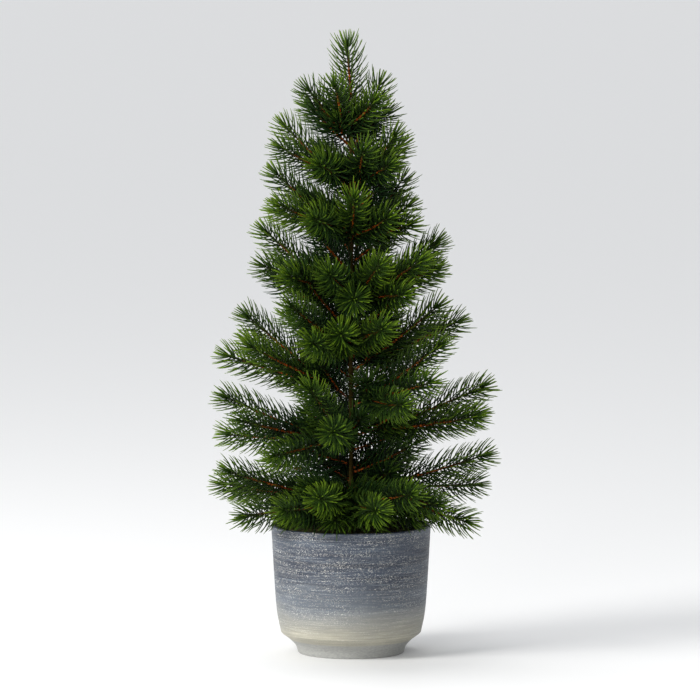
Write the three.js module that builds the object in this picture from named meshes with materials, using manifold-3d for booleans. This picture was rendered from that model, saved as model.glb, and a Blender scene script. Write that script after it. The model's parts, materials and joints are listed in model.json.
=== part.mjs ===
// Artificial tabletop fir tree in a glazed planter.
// Millimetres, +Z up. The origin is the centre of the planter's flat underside.
// Bearings are measured from +X towards +Y: 0 is right, 90 is back, 180 is left, 270 is front.
import * as THREE from 'three';
import { mergeVertices } from 'three/addons/utils/BufferGeometryUtils.js';
import Module from 'manifold-3d';

const wasm = await Module();
wasm.setup();

// ---------- driving dimensions ----------
const GAP = 0.35;                 // clearance between pieces that touch
const TUNNEL_CLEARANCE = 0.5;     // clearance all round a wire or rod in its socket

const PLANTER_HEIGHT = 126;
const PLANTER_RIM_RADIUS = 78.3;
const PLANTER_WALL = 5;
const RIM_ROUNDING = 1.5;
const PLANTER_FLOOR = 9;
const PLANTER_FOOT_RADIUS = 52.3;
const SHOULDER_HEIGHT = 20.5;     // where the side turns in towards the foot
const SHOULDER_RADIUS = 69;

const POT_FLOOR_RADIUS = 46;      // the plastic grower's pot inside the planter
const POT_RIM_RADIUS = 64;
const POT_TOP = 110;
const POT_WALL = 1.2;
const POT_LIP = 2;                // how far the pot's lip stands out
const POT_LIP_HEIGHT = 3;
const BALLAST_TOP = 50;
const FOAM_TOP = 111.5;

const MOSS_TOP = 120;
const MOSS_THICKNESS = 8;
const MOSS_RADIUS = 70;
const MOSS_EDGE_DROP = 4;         // how much lower the moss is at its edge
const MOSS_EDGE_WIDTH = 8;

const TRUNK_ROD_RADIUS = 1.5;
const TRUNK_ROD_TOP = 545;
const TAPE_THICKNESS = 1.2;
const TAPE_TOP = 522;
const TAPE_TAPER = 0.3;           // how much thinner the tape is at the top

const LEADER_TIP = [-4, 0, 594];
const LEADER_SPRAY = 8;           // radius of the leader's needles in the solid
const LEADER_COLLAR = 4;          // how far the cut for the leader's socket starts below its foot

const WIRE_RADIUS = 0.9;
const WIRE_REACH = 0.45;          // the part of a branch's stem that its wire runs through
const ROOT_RADIUS = 4.3;          // distance from the trunk's axis to the start of a branch wire
const SPRAY_START = 6;            // bare wire between the trunk and the first needles
const SPRAY_CORE = 2.4;           // radius left solid in the valleys between the fins of needles
const FORK = 0.16;                // share of the main stem at which the side stems leave it
const TIP_LIFT = 0.08;            // how much more steeply a stem rises at its tip than on the whole
const TIP_STRAIGHTNESS = 0.5;     // share of a stem's span over which it keeps its last direction
const FINS = 4;
const NEEDLE_OVERHANG = 13;       // how far the needles reach past the end of a stem

// Sides of the turned and round pieces.
const PLANTER_SIDES = 40;
const POT_SIDES = 28;             // the pot and the plugs that fill it
const MOSS_SIDES = 24;
const TRUNK_SIDES = 10;
const WIRE_SIDES = 6;
const WIRE_STEPS = 3;

// One branch: the height of its root, the radius of its needle sprays in the solid, and its tips as
// [distance from the trunk's axis, bearing, height]. The first tip ends the main stem.
const BRANCHES = {
  crown_left: {
    root: 505,
    spray: 8,
    tips: [[43, 201, 551], [38, 246, 556], [38, 305, 541], [42, 155, 536]],
  },
  crown_right: {
    root: 499,
    spray: 8,
    tips: [[29, 20, 556], [42, 38, 528], [41, 97, 543]],
  },
  tier1_left: {
    root: 459,
    spray: 9,
    tips: [[64, 168, 515], [72, 205, 496], [62, 241, 482]],
  },
  tier1_right: {
    root: 456,
    spray: 9,
    tips: [[44, 340, 507], [48, 285, 494], [47, 10, 496], [54, 312, 480]],
  },
  tier1_back: {
    root: 447,
    spray: 9,
    tips: [[61, 81, 503], [64, 122, 488], [60, 48, 490]],
  },
  tier2_left: {
    root: 409,
    spray: 9,
    tips: [[71, 176, 469], [78, 211, 441], [74, 242, 430]],
  },
  tier2_right: {
    root: 397,
    spray: 9,
    tips: [[52, 21, 462], [54, 350, 438], [64, 330, 422]],
  },
  tier2_front: {
    root: 403,
    spray: 9,
    tips: [[60, 273, 449], [62, 305, 430]],
  },
  tier2_back: {
    root: 402,
    spray: 9,
    tips: [[75, 88, 457], [76, 55, 444], [76, 130, 447], [78, 155, 432]],
  },
  tier3_left: {
    root: 346,
    spray: 9,
    tips: [[82, 177, 413], [86, 197, 381], [84, 226, 374]],
  },
  tier3_right: {
    root: 341,
    spray: 9,
    tips: [[82, 5, 401], [86, 24, 373], [84, 322, 388], [84, 343, 379]],
  },
  tier3_front: {
    root: 347,
    spray: 9,
    tips: [[80, 290, 386], [84, 256, 378], [88, 272, 354], [88, 305, 357]],
  },
  tier3_back: {
    root: 345,
    spray: 9,
    tips: [[88, 105, 404], [90, 70, 390], [90, 138, 380]],
  },
  tier4_front: {
    root: 299,
    spray: 9.5,
    tips: [[94, 233, 346], [98, 264, 322], [98, 288, 327], [100, 248, 312]],
  },
  tier4_right: {
    root: 279,
    spray: 9.5,
    tips: [[87, 340, 341], [104, 11, 323], [104, 38, 312]],
  },
  tier4_left: {
    root: 252,
    spray: 9.5,
    tips: [[100, 174, 329], [118, 182, 292], [106, 206, 304], [108, 158, 304]],
  },
  tier4_back: {
    root: 277,
    spray: 9.5,
    tips: [[104, 92, 337], [106, 125, 324], [106, 66, 320]],
  },
  tier5_front_right: {
    root: 243,
    spray: 10,
    tips: [[106, 323, 307], [121, 294, 254], [120, 309, 274]],
  },
  tier5_right: {
    root: 214,
    spray: 10,
    tips: [[127, 0, 261], [127, 15, 232], [126, 340, 236]],
  },
  tier5_left: {
    root: 206,
    spray: 10,
    tips: [[121, 189, 252], [124, 164, 211], [122, 212, 234]],
  },
  tier5_front_left: {
    root: 207,
    spray: 10,
    tips: [[107, 249, 268], [126, 235, 205], [124, 262, 230]],
  },
  tier5_back: {
    root: 220,
    spray: 10,
    tips: [[118, 90, 264], [119, 124, 272], [119, 58, 270]],
  },
  tier6_left: {
    root: 153,
    spray: 10,
    tips: [[123, 185, 167], [123, 215, 143], [122, 154, 155], [124, 200, 182]],
  },
  tier6_front: {
    root: 151,
    spray: 10,
    tips: [[125, 256, 166], [128, 281, 154], [120, 238, 152], [122, 298, 168]],
  },
  tier6_right: {
    root: 161,
    spray: 10,
    tips: [[128, 354, 195], [124, 312, 156], [123, 333, 136], [124, 12, 163]],
  },
  tier6_back: {
    root: 167,
    spray: 10,
    tips: [[121, 100, 204], [122, 130, 178], [122, 64, 184], [124, 82, 158]],
  },
};

// ---------- materials ----------
const COLOURS = {
  glaze: { color: 0x5a6373, roughness: 0.55, metalness: 0 },
  pot: { color: 0x17181a, roughness: 0.6, metalness: 0 },
  plaster: { color: 0xb8b4aa, roughness: 0.9, metalness: 0 },
  foam: { color: 0x2f4a30, roughness: 0.95, metalness: 0 },
  moss: { color: 0x3c3a1e, roughness: 1, metalness: 0 },
  rod: { color: 0x6d6a63, roughness: 0.4, metalness: 0.9 },
  tape: { color: 0x4a3c22, roughness: 0.9, metalness: 0 },
  wire: { color: 0x6a3a18, roughness: 0.7, metalness: 0.3 },
  needles: { color: 0x1f4d1c, roughness: 0.6, metalness: 0 },
};

function named(name, geometry, colour) {
  const mesh = new THREE.Mesh(geometry, new THREE.MeshStandardMaterial(COLOURS[colour]));
  mesh.name = name;
  return mesh;
}

// ---------- joining and cutting ----------
// A closed solid from any geometry: shared corners are merged and collapsed triangles dropped.
function toSolid(geometry) {
  const bare = geometry.clone();
  bare.deleteAttribute('normal');
  bare.deleteAttribute('uv');
  const merged = mergeVertices(bare, 1e-4);
  const corners = merged.index.array;
  const triangles = [];
  for (let i = 0; i < corners.length; i += 3) {
    const [a, b, c] = [corners[i], corners[i + 1], corners[i + 2]];
    if (a !== b && b !== c && c !== a) {
      triangles.push(a, b, c);
    }
  }
  return new wasm.Manifold(new wasm.Mesh({
    numProp: 3,
    vertProperties: new Float32Array(merged.attributes.position.array),
    triVerts: new Uint32Array(triangles),
  }));
}

function toGeometry(solid) {
  const mesh = solid.getMesh();
  const geometry = new THREE.BufferGeometry();
  geometry.setAttribute('position', new THREE.BufferAttribute(mesh.vertProperties, 3));
  geometry.setIndex(new THREE.BufferAttribute(mesh.triVerts, 1));
  return geometry;
}

// ---------- turned pieces ----------
// A solid turned about +Z from a profile of [radius, height] points, ordered upwards on the outside.
function turned(profile, segments) {
  const points = profile.map(([radius, height]) => new THREE.Vector2(radius, height));
  const geometry = new THREE.LatheGeometry(points, segments);
  geometry.rotateX(Math.PI / 2);
  return geometry;
}

// The planter's outside: a straight foot, a cove out to the shoulder, and a side that opens slowly.
const PLANTER_OUTSIDE = [
  [PLANTER_FOOT_RADIUS, 0],
  [PLANTER_FOOT_RADIUS + 2.3, 7.5],
  [PLANTER_FOOT_RADIUS + 8.4, 14],
  [SHOULDER_RADIUS, SHOULDER_HEIGHT],
  [SHOULDER_RADIUS + 3.9, 41],
  [SHOULDER_RADIUS + 6.4, 73],
  [PLANTER_RIM_RADIUS, PLANTER_HEIGHT - RIM_ROUNDING],
];

function planter() {
  const rim = [
    [PLANTER_RIM_RADIUS - RIM_ROUNDING, PLANTER_HEIGHT],
    [PLANTER_RIM_RADIUS - PLANTER_WALL + RIM_ROUNDING, PLANTER_HEIGHT],
  ];
  const inside = PLANTER_OUTSIDE.slice(3).reverse()
    .map(([radius, height]) => [radius - PLANTER_WALL, height]);
  const floor = [
    [PLANTER_FOOT_RADIUS - 2, PLANTER_FLOOR],
    [0, PLANTER_FLOOR],
  ];
  return turned([[0, 0], ...PLANTER_OUTSIDE, ...rim, ...inside, ...floor], PLANTER_SIDES);
}

// Inside radius of the grower's pot at a height.
function potInside(height) {
  const share = (height - PLANTER_FLOOR) / (POT_TOP - PLANTER_FLOOR);
  return POT_FLOOR_RADIUS + (POT_RIM_RADIUS - POT_FLOOR_RADIUS) * share - POT_WALL;
}

const POT_FOOT = PLANTER_FLOOR + GAP;
const POT_FLOOR_TOP = POT_FOOT + POT_WALL;

function growerPot() {
  return turned([
    [0, POT_FOOT],
    [POT_FLOOR_RADIUS, POT_FOOT],
    [POT_RIM_RADIUS - POT_WALL / 2, POT_TOP - POT_LIP_HEIGHT],
    [POT_RIM_RADIUS + POT_LIP, POT_TOP - POT_LIP_HEIGHT],
    [POT_RIM_RADIUS + POT_LIP, POT_TOP],
    [POT_RIM_RADIUS - POT_WALL, POT_TOP],
    [potInside(POT_FLOOR_TOP), POT_FLOOR_TOP],
    [0, POT_FLOOR_TOP],
  ], POT_SIDES);
}

// A plug that fills the pot between two heights, with a hole for the trunk rod.
function plug(bottom, top, hole) {
  return turned([
    [hole, bottom],
    [potInside(bottom) - GAP, bottom],
    [potInside(top) - GAP, top],
    [hole, top],
    [hole, bottom],
  ], POT_SIDES);
}

function moss(hole) {
  const bottom = MOSS_TOP - MOSS_THICKNESS;
  return turned([
    [hole, bottom],
    [MOSS_RADIUS, bottom],
    [MOSS_RADIUS, MOSS_TOP - MOSS_EDGE_DROP],
    [MOSS_RADIUS - MOSS_EDGE_WIDTH, MOSS_TOP - MOSS_EDGE_DROP / 3],
    [MOSS_RADIUS / 2, MOSS_TOP],
    [hole, MOSS_TOP],
    [hole, bottom],
  ], MOSS_SIDES);
}

const TAPE_INSIDE = (TRUNK_ROD_RADIUS + GAP) / Math.cos(Math.PI / TRUNK_SIDES);
const TAPE_OUTSIDE = TAPE_INSIDE + TAPE_THICKNESS;
const TAPE_BOTTOM = MOSS_TOP - MOSS_THICKNESS + GAP;
const ROD_BOTTOM = POT_FLOOR_TOP + GAP;

function trunkRod() {
  return turned([
    [0, ROD_BOTTOM],
    [TRUNK_ROD_RADIUS, ROD_BOTTOM],
    [TRUNK_ROD_RADIUS, TRUNK_ROD_TOP],
    [0, TRUNK_ROD_TOP],
  ], TRUNK_SIDES);
}

function trunkTape() {
  return turned([
    [TAPE_INSIDE, TAPE_BOTTOM],
    [TAPE_OUTSIDE, TAPE_BOTTOM],
    [TAPE_OUTSIDE - TAPE_TAPER, TAPE_TOP],
    [TAPE_INSIDE, TAPE_TOP],
    [TAPE_INSIDE, TAPE_BOTTOM],
  ], TRUNK_SIDES);
}

// ---------- stems ----------
function place([distance, bearing, height]) {
  const angle = THREE.MathUtils.degToRad(bearing);
  return new THREE.Vector3(distance * Math.cos(angle), distance * Math.sin(angle), height);
}

// A stem from start to a tip, which it reaches running straight away from the trunk, curving up a little.
function stemTo(start, tip) {
  const end = place(tip);
  const outward = place([1, tip[1], 0]);
  const chord = end.clone().sub(start);
  const rise = chord.z / Math.hypot(chord.x, chord.y);
  const ending = outward.setZ(rise + TIP_LIFT).normalize();
  const middle = end.clone().addScaledVector(ending, -chord.length() * TIP_STRAIGHTNESS);
  return new THREE.QuadraticBezierCurve3(start, middle, end);
}

// The stretch of a stem between two of its parameters.
function stretch(stem, from, to) {
  const middle = new THREE.Vector3()
    .addScaledVector(stem.v0, (1 - from) * (1 - to))
    .addScaledVector(stem.v1, (1 - from) * to + from * (1 - to))
    .addScaledVector(stem.v2, from * to);
  return new THREE.QuadraticBezierCurve3(stem.getPoint(from), middle, stem.getPoint(to));
}

// The stems of one branch: the main stem from the trunk, then one side stem for each other tip.
function branchStems({ root, tips }) {
  const [mainTip, ...sideTips] = tips;
  const main = stemTo(place([ROOT_RADIUS, mainTip[1], root]), mainTip);
  const forkPoint = main.getPoint(FORK);
  return [main, ...sideTips.map((tip) => stemTo(forkPoint, tip))];
}

// A round bar along a stem.
function bar(stem, radius) {
  const section = new THREE.Shape();
  for (let side = 0; side < WIRE_SIDES; side += 1) {
    const angle = side * 2 * Math.PI / WIRE_SIDES;
    const corner = [radius * Math.cos(angle), radius * Math.sin(angle)];
    if (side === 0) {
      section.moveTo(...corner);
    } else {
      section.lineTo(...corner);
    }
  }
  section.closePath();
  return new THREE.ExtrudeGeometry(section, { steps: WIRE_STEPS, bevelEnabled: false, extrudePath: stem });
}

// ---------- needle sprays ----------
// A spray's outline along its length, as [share of the length, share of its radius].
const SPRAY_OUTLINE = [[0, 0], [0, 0.36], [0.4, 1], [0.86, 1], [1, 0]];

// The place at a distance along a stem, going straight on past its end, with the stem's direction there.
function alongStem(stem, distance) {
  const length = stem.getLength();
  const share = Math.min(distance / length, 1);
  const direction = stem.getTangentAt(share);
  const point = stem.getPointAt(share);
  point.addScaledVector(direction, Math.max(distance - length, 0));
  return { point, direction };
}

// A bottle brush of needles around a stem: a lathed body pinched to its core between the fins.
function brush(stem, radius) {
  const length = stem.getLength() + NEEDLE_OVERHANG;
  const outline = SPRAY_OUTLINE.map(([share, width]) => new THREE.Vector2(radius * width, length * share));
  const geometry = new THREE.LatheGeometry(outline, FINS * 2);
  const corners = geometry.attributes.position;
  const across = stem.v1.clone().sub(stem.v0).cross(stem.v2.clone().sub(stem.v0)).normalize();
  const corner = new THREE.Vector3();
  for (let i = 0; i < corners.count; i += 1) {
    corner.fromBufferAttribute(corners, i);
    const turn = Math.round(Math.atan2(corner.z, corner.x) / (Math.PI / FINS));
    const wide = Math.hypot(corner.x, corner.z);
    const pinched = turn % 2 !== 0 && wide > SPRAY_CORE ? SPRAY_CORE / wide : 1;
    const { point, direction } = alongStem(stem, corner.y);
    const normal = direction.clone().cross(across);
    point.addScaledVector(normal, corner.x * pinched);
    point.addScaledVector(across, corner.z * pinched);
    corners.setXYZ(i, point.x, point.y, point.z);
  }
  return geometry;
}

function branchPieces(name, branch) {
  const stems = branchStems(branch);
  const main = stems[0];
  const start = SPRAY_START / main.getLength();
  let spray = toSolid(brush(stretch(main, start, 1), branch.spray));
  for (const side of stems.slice(1)) {
    spray = spray.add(toSolid(brush(side, branch.spray)));
  }
  const socket = stretch(main, 0, WIRE_REACH + TUNNEL_CLEARANCE / main.getLength());
  spray = spray.subtract(toSolid(bar(socket, WIRE_RADIUS + TUNNEL_CLEARANCE)));
  return [
    named(`${name}_wire`, bar(stretch(main, 0, WIRE_REACH), WIRE_RADIUS), 'wire'),
    named(`${name}_needles`, toGeometry(spray), 'needles'),
  ];
}

// The leader stands on the tape's top, with the trunk rod in its socket.
function leader() {
  const foot = new THREE.Vector3(0, 0, TAPE_TOP + 2 * GAP);
  const tip = new THREE.Vector3(...LEADER_TIP);
  const middle = new THREE.Vector3(0, 0, (foot.z + tip.z) / 2);
  const stem = new THREE.QuadraticBezierCurve3(foot, middle, tip);
  const radius = TRUNK_ROD_RADIUS + TUNNEL_CLEARANCE;
  const depth = TRUNK_ROD_TOP - TAPE_TOP + LEADER_COLLAR;
  const socket = new THREE.CylinderGeometry(radius, radius, depth, TRUNK_SIDES);
  socket.rotateX(Math.PI / 2);
  socket.translate(0, 0, TRUNK_ROD_TOP + TUNNEL_CLEARANCE - depth / 2);
  return toGeometry(toSolid(brush(stem, LEADER_SPRAY)).subtract(toSolid(socket)));
}

// ---------- the whole tree ----------
const tree = new THREE.Group();
tree.add(
  named('planter', planter(), 'glaze'),
  named('grower_pot', growerPot(), 'pot'),
  named('ballast', plug(POT_FLOOR_TOP + GAP, BALLAST_TOP, TRUNK_ROD_RADIUS + GAP), 'plaster'),
  named('foam_fill', plug(BALLAST_TOP + GAP, FOAM_TOP, TRUNK_ROD_RADIUS + GAP), 'foam'),
  named('moss_top', moss(TAPE_OUTSIDE + GAP), 'moss'),
  named('trunk_rod', trunkRod(), 'rod'),
  named('trunk_tape', trunkTape(), 'tape'),
  named('leader_needles', leader(), 'needles'),
);
for (const [name, branch] of Object.entries(BRANCHES)) {
  tree.add(...branchPieces(name, branch));
}

export default tree;
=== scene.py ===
"""Looks of the artificial tabletop tree: moulded needle shoots, taped trunk, moss and glazed planter."""
import json
import math

import bpy
import numpy as np
from mathutils import Matrix, Vector


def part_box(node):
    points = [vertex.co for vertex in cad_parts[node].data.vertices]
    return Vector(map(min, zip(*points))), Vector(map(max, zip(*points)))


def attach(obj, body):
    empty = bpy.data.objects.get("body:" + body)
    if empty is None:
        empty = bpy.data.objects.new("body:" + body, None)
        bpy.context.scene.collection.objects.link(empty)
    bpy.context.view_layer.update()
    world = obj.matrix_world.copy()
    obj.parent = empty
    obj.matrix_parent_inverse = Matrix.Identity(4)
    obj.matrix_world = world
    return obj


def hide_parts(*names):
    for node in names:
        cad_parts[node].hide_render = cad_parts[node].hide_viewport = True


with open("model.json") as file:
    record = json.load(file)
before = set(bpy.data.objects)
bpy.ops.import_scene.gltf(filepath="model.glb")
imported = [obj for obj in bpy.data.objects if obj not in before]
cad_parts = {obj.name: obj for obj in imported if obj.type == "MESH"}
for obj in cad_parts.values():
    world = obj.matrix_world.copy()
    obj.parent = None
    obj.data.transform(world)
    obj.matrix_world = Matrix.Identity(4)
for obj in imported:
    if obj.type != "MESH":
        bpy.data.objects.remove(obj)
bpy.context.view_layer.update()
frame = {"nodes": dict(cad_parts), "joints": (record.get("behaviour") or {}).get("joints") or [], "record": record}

MM = 0.001
GOLDEN_ANGLE = math.radians(137.508)
JOINTS = {joint["name"]: joint for joint in frame["joints"]}
RANGES = {joint["name"]: joint.get("range_deg") for joint in frame["record"]["behaviour"]["joints"]}

# ---------- the planter's turned outline, as in the CAD: [radius, height] in millimetres ----------
RIM_RADIUS = (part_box("planter")[1][0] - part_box("planter")[0][0]) / 2 / MM
PLANTER_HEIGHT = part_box("planter")[1][2] / MM
PLANTER_FLOOR = 9            # height of the floor inside
PLANTER_WALL = 5             # thickness of the side, low down
PLANTER_RIM_WALL = 3.6       # thickness at the rim
PLANTER_OUTSIDE = [(52.3, 0), (54.6, 7.5), (60.7, 14), (69, 20.5), (72.9, 41), (75.4, 73),
                   (RIM_RADIUS, 124.5)]
SHOULDER = 3                 # which point of the outline is the sharp shoulder above the cove
GLAZE_EDGE = 14              # height where the glaze stops above the bare foot

# ---------- needle shoots ----------
NEEDLE_LENGTH = 23.5         # millimetres
NEEDLE_RADIUS = 0.64
# A needle's rings as [share of its length, share of its width].
NEEDLE_RINGS = [(0.0, 0.6), (0.25, 0.95), (0.52, 1.0), (0.78, 0.86), (0.94, 0.56)]
NEEDLE_SIDES = 5
CLEAR_SHARES = (0.4, 0.6, 0.8, 1.0)   # where along a needle it is tested against the planter
WHORL_STEP = 3.4             # distance along a stem between whorls of needles
WHORL_NEEDLES = 6
WHORL_TWIST = math.radians(27)
TUFT_NEEDLES = 9             # needles that stand together at a shoot's tip
SPRAY_START = 3              # bare wire between the trunk and the first needles
FORK = 0.16                  # share of the main stem at which the side stems leave it
TIP_LIFT = 0.08              # how much more steeply a stem rises at its tip than on the whole
TIP_STRAIGHTNESS = 0.5       # share of a stem's span over which it keeps its last direction
CURVE_STEPS = 64             # straight steps that a stem's curve is worked out in
STEM_RADIUS = 1.1
STEM_KNOTS = 0.3             # how much every other ring of a stem stands out
WIRE_RADIUS = 1.0
WIRE_REACH = 0.45            # share of the main stem that the wire runs through
TIP_VIGOUR = 0.95            # how fresh a green the needles take towards a shoot's tip
TWIG_VIGOUR = 0.4
FILLER_VIGOUR = 0.3
LEADER_VIGOUR = 0.7
LEADER_TIP = (-4, 0, 594.0)

# ---------- short filler shoots ----------
TWIGS = ((0.07, 52), (0.12, -50))    # [share of the main stem, heading off it in degrees]
TWIG_LENGTH = 0.34                   # share of the main stem's length
# Shoots straight from the trunk: [height, bearing], then how long they are and how much they climb.
LOW_SHOOTS = ((178, 350), (186, 172), (181, 32), (192, 228), (187, 300), (196, 95), (200, 12), (204, 150))
LOW_LENGTH, LOW_CLIMB = 58, 0.42
MIDDLE_SHOOTS = ((318, 214), (327, 163), (312, 322), (333, 22))
MIDDLE_LENGTH, MIDDLE_CLIMB = 0.2, 0.72      # the length is a share of the height
HIGH_START, HIGH_END, HIGH_STEP = 262, 506, 9.5      # heights
HIGH_LENGTH, HIGH_SHORTENING = 60, 0.058     # the shortening is for each millimetre of height
HIGH_CLIMB = 0.8
FRONT_BARE = -0.75                   # sine of the bearing below which the front of the trunk stays bare
SKIRT_SHOOTS = 17
SKIRT_ROOTS = (150, 166)             # heights
SKIRT_REACHES = (62, 78)
SKIRT_TIPS = (135, 141)              # heights

# The tips of each branch as [distance from the trunk's axis, bearing, height]. The first tip ends
# the main stem. Roots come from the joints.
BRANCHES = {
    "crown_left": [[43, 201, 551], [38, 246, 556], [38, 305, 541], [42, 155, 536]],
    "crown_right": [[29, 20, 556], [42, 38, 528], [41, 97, 543]],
    "tier1_left": [[64, 168, 515], [72, 205, 496], [62, 241, 482]],
    "tier1_right": [[44, 340, 507], [48, 285, 494], [47, 10, 496], [54, 312, 480]],
    "tier1_back": [[61, 81, 503], [64, 122, 488], [60, 48, 490]],
    "tier2_left": [[71, 176, 469], [78, 211, 441], [74, 242, 430]],
    "tier2_right": [[52, 21, 462], [54, 350, 438], [64, 330, 422]],
    "tier2_front": [[60, 273, 449], [62, 305, 430]],
    "tier2_back": [[75, 88, 457], [76, 55, 444], [76, 130, 447], [78, 155, 432]],
    "tier3_left": [[82, 177, 413], [86, 197, 381], [84, 226, 374]],
    "tier3_right": [[82, 5, 401], [86, 24, 373], [84, 322, 388], [84, 343, 379]],
    "tier3_front": [[80, 290, 386], [84, 256, 378], [88, 272, 354], [88, 305, 357]],
    "tier3_back": [[88, 105, 404], [90, 70, 390], [90, 138, 380]],
    "tier4_front": [[94, 233, 346], [98, 264, 322], [98, 288, 327], [100, 248, 312]],
    "tier4_right": [[87, 340, 341], [104, 11, 323], [104, 38, 312]],
    "tier4_left": [[100, 174, 329], [118, 182, 292], [106, 206, 304], [108, 158, 304]],
    "tier4_back": [[104, 92, 337], [106, 125, 324], [106, 66, 320]],
    "tier5_front_right": [[106, 323, 307], [121, 294, 254], [120, 309, 274]],
    "tier5_right": [[127, 0, 261], [127, 15, 232], [126, 340, 236]],
    "tier5_left": [[121, 189, 252], [124, 164, 211], [122, 212, 234]],
    "tier5_front_left": [[107, 249, 268], [126, 235, 205], [124, 262, 230]],
    "tier5_back": [[118, 90, 264], [119, 124, 272], [119, 58, 270]],
    "tier6_left": [[123, 185, 167], [123, 215, 143], [122, 154, 155], [124, 200, 182]],
    "tier6_front": [[125, 256, 166], [128, 281, 154], [120, 238, 152], [122, 298, 168]],
    "tier6_right": [[128, 354, 195], [124, 312, 156], [123, 333, 136], [124, 12, 163]],
    "tier6_back": [[121, 100, 204], [122, 130, 178], [122, 64, 184], [124, 82, 158]],
}


# ---------- mesh helpers ----------
def build(name, corners, faces, values=None):
    """A mesh object from corners in millimetres, with named per-corner values for its material."""
    mesh = bpy.data.meshes.new(name)
    mesh.from_pydata((np.asarray(corners) * MM).tolist(), [], [list(face) for face in faces])
    mesh.validate()
    mesh.polygons.foreach_set("use_smooth", [True] * len(mesh.polygons))
    for key, numbers in (values or {}).items():
        attribute = mesh.attributes.new(key, "FLOAT", "POINT")
        attribute.data.foreach_set("value", np.asarray(numbers, dtype=np.float32))
    mesh.update()
    piece = bpy.data.objects.new(name, mesh)
    bpy.context.scene.collection.objects.link(piece)
    return piece


def ring_faces(ring_count, sides):
    """Quads between rings of corners that follow each other in the corner list."""
    faces = []
    for ring in range(ring_count - 1):
        low = ring * sides
        for side in range(sides):
            turn = (side + 1) % sides
            faces.append((low + side, low + turn, low + sides + turn, low + sides + side))
    return faces


def turned(name, outline, sides, push=None):
    """A closed piece turned about +Z from an outline that runs up the outside and down the inside."""
    angles = np.linspace(0, 2 * math.pi, sides, endpoint=False)
    rings = []
    for radius, height in outline:
        reach = np.full(sides, float(radius))
        if push is not None:
            reach = reach + push(radius, height, angles)
        rings.append(np.stack([reach * np.cos(angles), reach * np.sin(angles), np.full(sides, height)], 1))
    corners = np.concatenate(rings + [[[0, 0, outline[0][1]]], [[0, 0, outline[-1][1]]]])
    faces = ring_faces(len(outline), sides)
    under, over = len(corners) - 2, len(corners) - 1
    last = (len(outline) - 1) * sides
    for side in range(sides):
        turn = (side + 1) % sides
        faces.append((under, turn, side))
        faces.append((over, last + side, last + turn))
    return build(name, corners, faces)


def smooth_outline(points, step):
    """Points of a Catmull-Rom curve through an outline, about a step apart."""
    points = [np.array(point, float) for point in points]
    padded = [2 * points[0] - points[1]] + points + [2 * points[-1] - points[-2]]
    result = []
    for a, b, c, d in zip(padded, padded[1:], padded[2:], padded[3:]):
        count = max(1, int(np.linalg.norm(c - b) / step))
        for t in np.arange(count) / count:
            result.append(0.5 * (2 * b + (c - a) * t + (2 * a - 5 * b + 4 * c - d) * t ** 2
                                 + (3 * b - a - 3 * c + d) * t ** 3))
    result.append(points[-1])
    return result


# ---------- stems, worked out as in the CAD ----------
class Stem:
    """A quadratic curve in millimetres, read by distance along it."""

    def __init__(self, start, middle, end):
        share = np.linspace(0, 1, CURVE_STEPS + 1)[:, None]
        self.points = (1 - share) ** 2 * start + 2 * share * (1 - share) * middle + share ** 2 * end
        slopes = 2 * (1 - share) * (middle - start) + 2 * share * (end - middle)
        self.slopes = slopes / np.linalg.norm(slopes, axis=1)[:, None]
        steps = np.linalg.norm(np.diff(self.points, axis=0), axis=1)
        self.distances = np.concatenate([[0], np.cumsum(steps)])
        self.length = self.distances[-1]
        across = np.cross(middle - start, end - start)
        size = np.linalg.norm(across)
        self.across = across / size if size > 1e-6 else np.array([0.0, 1.0, 0.0])

    def at(self, distance):
        """Places, directions and sideways directions at distances along the stem."""
        distance = np.atleast_1d(distance)
        place = np.stack([np.interp(distance, self.distances, self.points[:, k]) for k in range(3)], 1)
        slope = np.stack([np.interp(distance, self.distances, self.slopes[:, k]) for k in range(3)], 1)
        slope /= np.linalg.norm(slope, axis=1)[:, None]
        side = np.cross(slope, self.across)
        side /= np.linalg.norm(side, axis=1)[:, None]
        return place, slope, side, np.cross(slope, side)

    def share(self, share):
        """The place and direction at a parameter of the curve."""
        row = share * CURVE_STEPS
        rows = np.arange(CURVE_STEPS + 1)
        place = np.array([np.interp(row, rows, self.points[:, k]) for k in range(3)])
        slope = np.array([np.interp(row, rows, self.slopes[:, k]) for k in range(3)])
        return place, slope / np.linalg.norm(slope)


def spot(distance, bearing, height):
    """A point from its distance to the trunk's axis, its bearing in degrees and its height."""
    angle = math.radians(bearing)
    return np.array([distance * math.cos(angle), distance * math.sin(angle), height])


def stem_to(start, tip):
    """A stem that reaches its tip running straight away from the trunk, curving up a little."""
    end = spot(*tip)
    chord = end - start
    ending = spot(1, tip[1], chord[2] / np.hypot(chord[0], chord[1]) + TIP_LIFT)
    span = np.linalg.norm(chord)
    middle = end - ending / np.linalg.norm(ending) * span * TIP_STRAIGHTNESS
    return Stem(start, middle, end)


def branch_stems(name):
    """The main stem of a branch and its side stems."""
    main_tip, *side_tips = BRANCHES[name]
    main = stem_to(np.array(JOINTS[name + "_bend"]["pos_m"]) / MM, main_tip)
    fork_place, _ = main.share(FORK)
    return [main] + [stem_to(fork_place, tip) for tip in side_tips]


def twig(main, share, heading, length, climb, random):
    """A short side shoot from the main stem, turned aside by a heading and rising by a climb."""
    place, along = main.share(share)
    bearing = math.atan2(along[1], along[0]) + math.radians(heading + random.uniform(-7, 7))
    aim = np.array([math.cos(bearing), math.sin(bearing), climb])
    end = place + aim / np.linalg.norm(aim) * length * random.uniform(0.88, 1.12)
    return Stem(place, (place + end) / 2 + np.array([0, 0, 0.05 * length]), end)


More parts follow.
